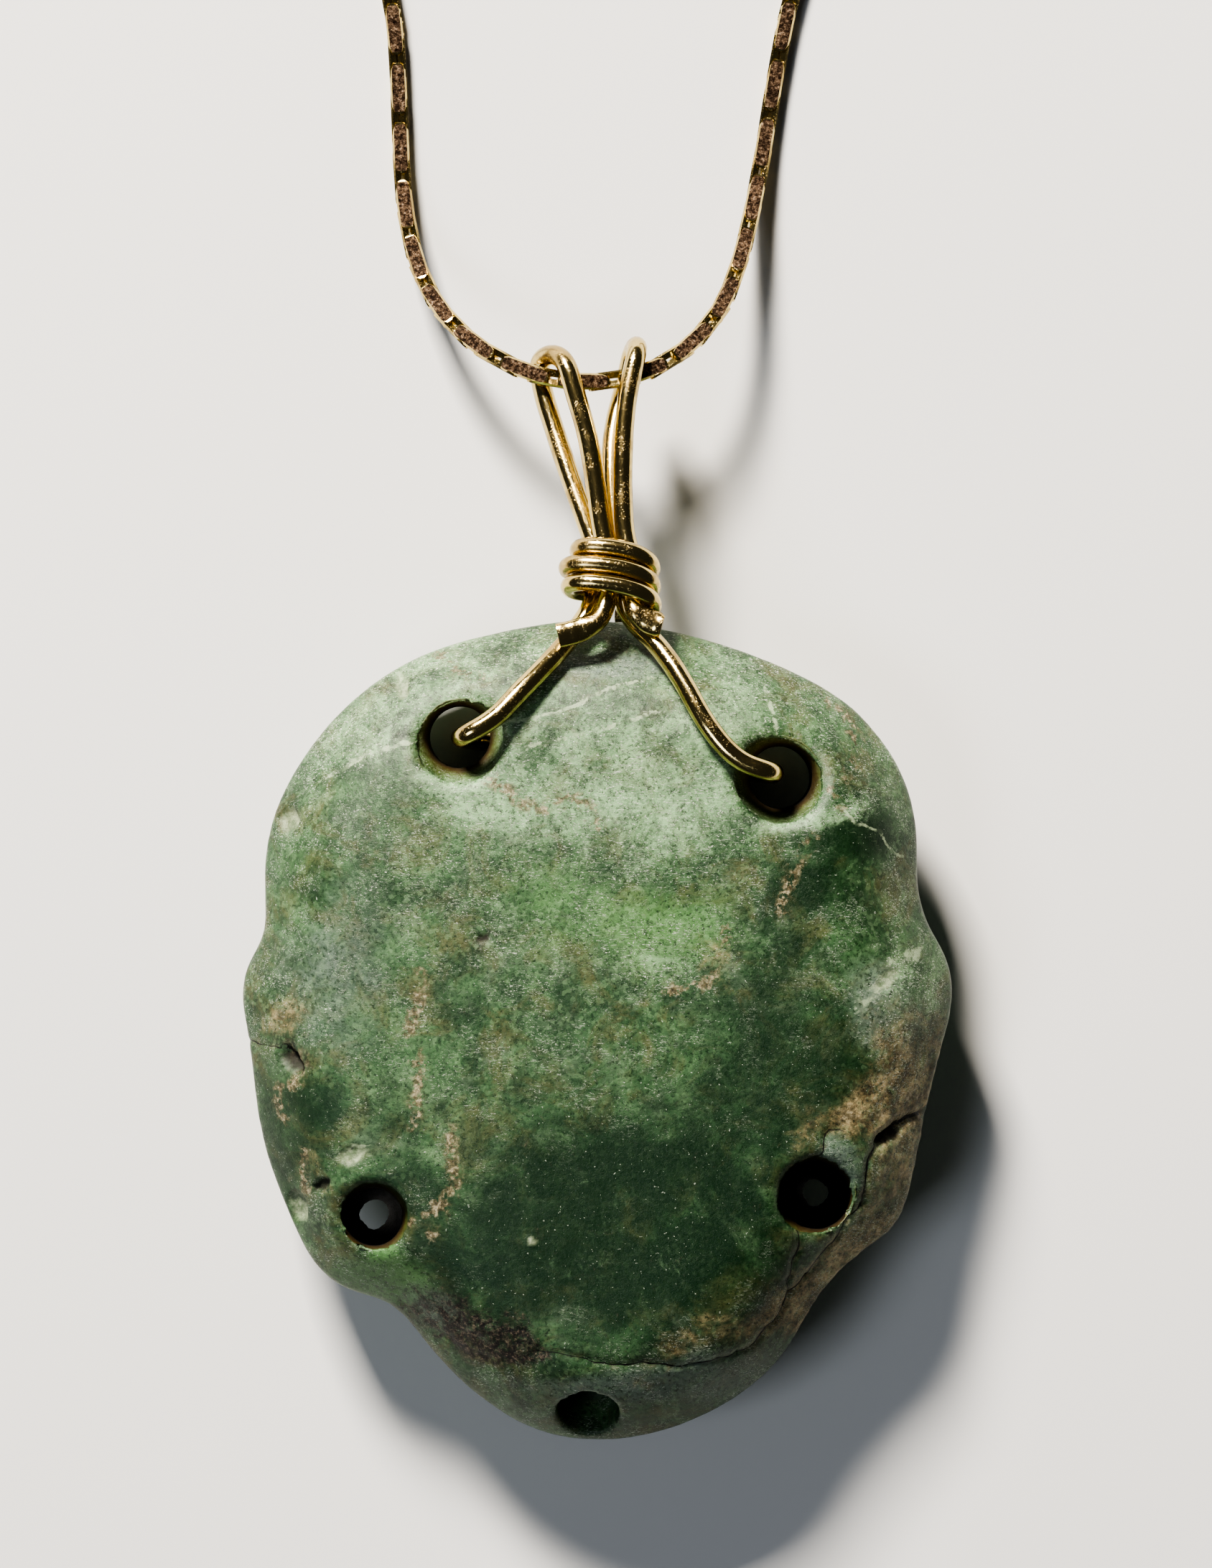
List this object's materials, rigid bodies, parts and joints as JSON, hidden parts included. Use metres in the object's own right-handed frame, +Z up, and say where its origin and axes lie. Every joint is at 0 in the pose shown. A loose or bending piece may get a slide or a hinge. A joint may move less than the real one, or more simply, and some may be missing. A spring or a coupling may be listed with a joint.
{
  "type": "jade mask pendant on a chain",
  "caption": "Carved green jade mask pendant lying face down, hung by a wrapped gold-coloured wire bail on a fine link chain.",
  "frame": {"origin": "middle of the whole laid-out pendant and chain, on the surface that they lie on", "axes": "+Y from the mask's chin towards the chain's far end, +X to the right seen from above, +Z up, out of the mask's back"},
  "size_m": [0.1026, 0.2072, 0.0105],
  "materials": {
    "jade": "polished, mottled",
    "gold_wire": "polished, worn",
    "gold_chain": "dull, scratched flats"
  },
  "bodies": {
    "root": {"jade_mask": "jade", "bail_wire": "gold_wire", "wrap_wire": "gold_wire", "chain": "gold_chain", "clasp": "gold_chain"}
  },
  "joints": []
}
